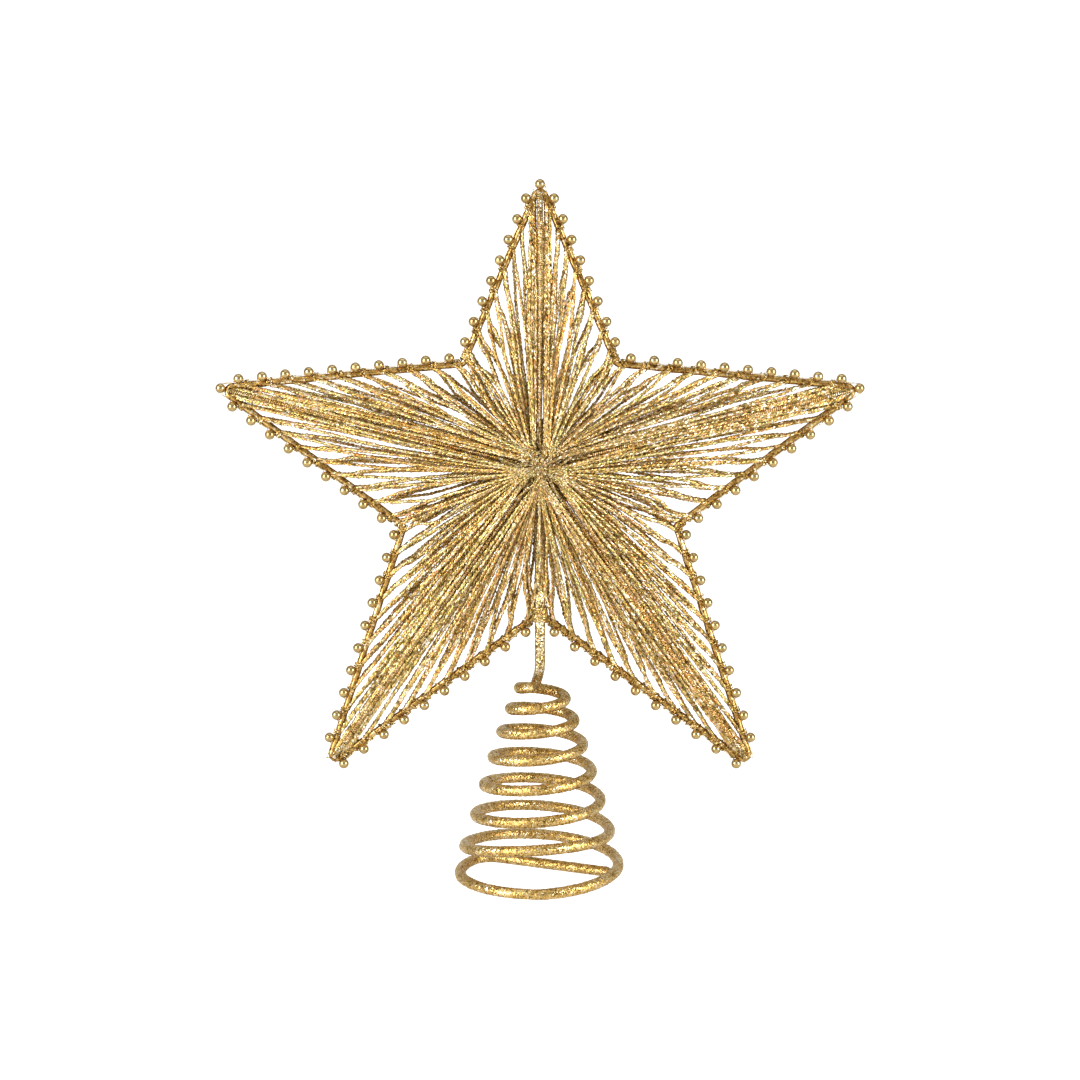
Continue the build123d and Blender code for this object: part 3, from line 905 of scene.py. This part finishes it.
for index, arm in enumerate(arm_names):
    after, _, _ = arm_edges[arm][1]
    next_arm = arm_names[(index + 1) % len(arm_names)]
    before, _, _ = arm_edges[next_arm][0]
    spots = []
    for edge, backwards in ((after, False), (before, True)):
        side = edges[edge]
        near_tip = wraps_near_crown_tip if edge.startswith("crown") else wraps_near_tip
        wraps = near_tip + [along + wrap_from_bead for along in side["beads"]]
        wraps = [along for along in wraps if along < side["length"] - clear_of_notch]
        if wraps[-1] < side["length"] - bare_by_notch:
            wraps.append(side["length"] - wrap_by_notch)
        row = [(edge, along) for along in wraps]
        spots += row[::-1] if backwards else row
    low = (tips[arm] - hub).normalized()
    low_angle = math.atan2(low.z, low.x) + beside_ridge
    high = (tips[next_arm] - hub).normalized()
    high_angle = math.atan2(high.z, high.x) - beside_ridge
    if high_angle < low_angle:
        high_angle += 2 * math.pi
    for order, (edge, along) in enumerate(spots):
        heading = edges[edge]["heading"]
        outward = edges[edge]["outward"]
        place = edges[edge]["tip"] + heading * along
        for view, view_sign in views:
            paired = paired_on_leg if "leg" in edge else paired_elsewhere
            for twin in (0, 1) if along > single_near_tip or random.random() < paired else (0,):
                rank = 2 * order + twin
                angle = low_angle + (high_angle - low_angle) * rank / (2 * len(spots) - 1)
                slot = hub + Vector((math.cos(angle), 0.0, math.sin(angle))) * rim_reach
                level = hub_depth + level_step * (rank % thread_levels - (thread_levels - 1) / 2)
                start = slot + Vector((0.0, view_sign * level, 0.0))
                shift = random.uniform(twin_near, twin_far) if twin else random.uniform(-twin_far, -twin_near)
                wrap = place + heading * shift
                knee = wrap_point(wrap, outward, math.radians(wrap_from_degrees), view_sign)
                span = knee - start
                sideways = span.cross(Vector((0.0, 1.0, 0.0))).normalized()
                apart = edges[edge]["pitch"] * abs(heading.dot(sideways))
                lean = 1.0 if twin == (view == "front") else -1.0
                merge = random.uniform(*stuck_at)
                cling = (random.choice(cling_shares) + random.gauss(0, cling_spread)) * lean * apart
                run_along = random.uniform(*along_frame) * min(1.0, apart / along_frame_apart)
                bend_share = 1 - min(bend_most, random.uniform(*bend_run) / span.length)
                steps = round(span.length / strand_step)
                seed = random.uniform(0, strand_seeds)
                line = []
                inmost = random.uniform(*inmost_shares)
                for k in range(hub_steps):
                    inner = inmost + (1 - inmost) * k / hub_steps
                    deep = hub_depth + (level - hub_depth) * inner + hub_rise * (1 - inner**2)
                    line.append(hub.lerp(slot, inner) + Vector((0.0, view_sign * deep, 0.0)))
                for i in range(steps):
                    share = i / steps
                    drawn = cling * min(share / merge, (1 - share) / (1 - merge))
                    loose = min(1.0, share * straight_by_hub)
                    drawn += wander * noise.noise(Vector((i * wander_scale, seed, 0.0))) * loose
                    drawn += crook * noise.noise(Vector((i * crook_scale, seed, 7.0)))
                    spot = start + span * share + sideways * drawn * min(1.0, (1 - share) * straight_by_frame)
                    bent = max(0.0, (share - bend_share) / (1 - bend_share))
                    line.append(spot + heading * run_along * 2 * bent * (1 - bent))
                if along > no_turn_near_tip:
                    for k in range(wrap_steps):
                        swing = math.radians(wrap_from_degrees + wrap_step_degrees * k)
                        line.append(wrap_point(wrap, outward, swing, view_sign))
                windings[view, edge] += plies(line, random.uniform(0, any_phase))
for (view, edge), runs in windings.items():
    side = edges[edge]
    if "inner" in edge and view == "front":
        wound = []
        for k in range(round(bound_steps_a_turn * (side["length"] - bound_left_bare) / bound_lay)):
            slack = noise.noise((k * bound_slack_scale, 3.0, 5.0))
            along = bound_from_tip + bound_lay * (k + slack) / bound_steps_a_turn
            place = side["tip"] + side["heading"] * along
            wound.append(wrap_point(place, side["outward"], 2 * math.pi * k / bound_steps_a_turn, -1.0))
        runs += plies(wound, 0.0)
    name = f"thread_{view}_{edge}"
    winding_mesh = wire_mesh(name, runs, ply, ply_rounding)
    place_piece(name, winding_mesh, streaked_thread, "star", "glitter_thread", f"winding_{view}_{edge}")
    winding_mesh.materials.append(frame_brown_thread)
    winding_mesh.materials.append(painted_shade_thread)
    for face in winding_mesh.polygons:
        # Faces near the hub take the darkened thread: painted shade.
        from_hub = face.center / MM - hub
        if math.hypot(from_hub.x, from_hub.z) < random.uniform(*painted_shade_within):
            face.material_index = painted_shade_slot
        # Faces close to the frame's line take the darker brown thread.
        from_tip = face.center / MM - side["tip"]
        if (from_tip - side["heading"] * from_tip.dot(side["heading"])).length < frame_brown_within:
            face.material_index = frame_brown_slot

# Ridges: a cord along the middle of each arm, from the tip up to the crossing, in front and behind.
# Each is a bundle of strands with the thread wound round it, turn by turn, and pale near the tip where it lies bare.
ridge_core = 1.75
ridge_inner_core = 1.1
ridge_bare = 15.0
ridge_turn = 0.85
ridge_steps_a_turn = 9
ridge_thread = (0.42, 0.60)
ridge_thread_out = 0.16
ridge_foot_depth = 2.33
ridge_foot_in = 0.5
ridge_steps = 60
ridge_thins_from = 0.15
ridge_thins_over = 0.2
pale_slot = 1
one_millimetre = 1.0
for arm in arm_names:
    apex, axis, _ = arm_tips[arm]
    for view, view_sign in views:
        foot = apex - axis * ridge_foot_in + Vector((0.0, view_sign * ridge_foot_depth, 0.0))
        head = hub + (tips[arm] - hub).normalized() * rim_reach + Vector((0.0, view_sign * hub_depth, 0.0))
        span = head - foot
        across = span.cross(Vector((0.0, 1.0, 0.0))).normalized()
        over = across.cross(span).normalized()
        turns = round(span.length / ridge_turn)
        outer_core = ridge_inner_core if arm.endswith("_arm") else ridge_core
        cord = []
        for k in range(ridge_steps + 1):
            share = k / ridge_steps
            thinned = min(1.0, max(0.0, (share - ridge_thins_from) / ridge_thins_over))
            cord.append((foot.lerp(head, share), outer_core + (ridge_inner_core - outer_core) * thinned))
        wound = []
        for k in range(turns * ridge_steps_a_turn + 1):
            angle = 2 * math.pi * k / ridge_steps_a_turn
            share = k / (turns * ridge_steps_a_turn)
            reach = cord[round(ridge_steps * share)][1] / 2 + ridge_thread_out
            spot = foot.lerp(head, share) + (across * math.cos(angle) + over * math.sin(angle)) * reach
            wound.append((spot, random.uniform(*ridge_thread)))
        name = f"ridge_cord_{view}_{arm}"
        ridge_mesh = wire_mesh(name, [cord, wound], one_millimetre, ply_rounding)
        place_piece(name, ridge_mesh, glitter_thread, "star", "glitter_thread", f"ridge_{view}_{arm}")
        ridge_mesh.materials.append(pale_coat)
        for face in ridge_mesh.polygons:
            if (face.center / MM - tips[arm]).length < ridge_bare:
                face.material_index = pale_slot

# Crossings: every strand of the winding runs on across the middle, from one rim of the crossing to the other.
# The thread piles up there in a low heap, in front and behind, and the strands hold each other.
# The heap's thread has darkened tints: painted shade.
crossing_chords = 120
crossing_heap = 3.5
crossing_sunk = 1.5
golden_share = 0.381966
crossing_swerve = 0.42
past_rim = (0.3, 11.0)
past_rim_slope = 0.25
rim_spread = 2.3
crossing_bow = 0.9
crossing_steps = 20
crossing_ripple = 0.5
crossing_ripple_scale = 0.6
for view, view_sign in views:
    runs = []
    for k in range(crossing_chords):
        heading = 2 * math.pi * (k * golden_share % 1.0)
        opposite = heading + math.pi + random.gauss(0, crossing_swerve)
        past_near = random.uniform(*past_rim)
        past_far = random.uniform(*past_rim)
        near = hub + Vector((math.cos(heading), 0.0, math.sin(heading))) * (rim_reach + past_near)
        far = hub + Vector((math.cos(opposite), 0.0, math.sin(opposite))) * (rim_reach + past_far)
        low_near = hub_depth + random.uniform(-rim_spread, rim_spread) - past_rim_slope * past_near
        low_far = hub_depth + random.uniform(-rim_spread, rim_spread) - past_rim_slope * past_far
        top = hub_depth - crossing_sunk + (crossing_heap + crossing_sunk) * k / (crossing_chords - 1)
        bow = (far - near).cross(Vector((0.0, 1.0, 0.0))).normalized() * random.gauss(0, crossing_bow)
        seed = random.uniform(0, strand_seeds)
        line = []
        for i in range(crossing_steps + 1):
            share = i / crossing_steps
            rise = math.sin(math.pi * share) ** 2
            level = (low_near * (1 - share) + low_far * share) * (1 - rise) + top * rise
            level += crossing_ripple * noise.noise(Vector((i * crossing_ripple_scale, seed, 3.0)))
            line.append(near.lerp(far, share) + bow * rise + Vector((0.0, view_sign * level, 0.0)))
        runs += plies(line, random.uniform(0, any_phase))
    crossing_mesh = wire_mesh(f"crossing_heap_{view}", runs, ply, ply_rounding)
    place_piece(f"crossing_heap_{view}", crossing_mesh, painted_shade_thread, "star", "glitter_thread", f"crossing_{view}")
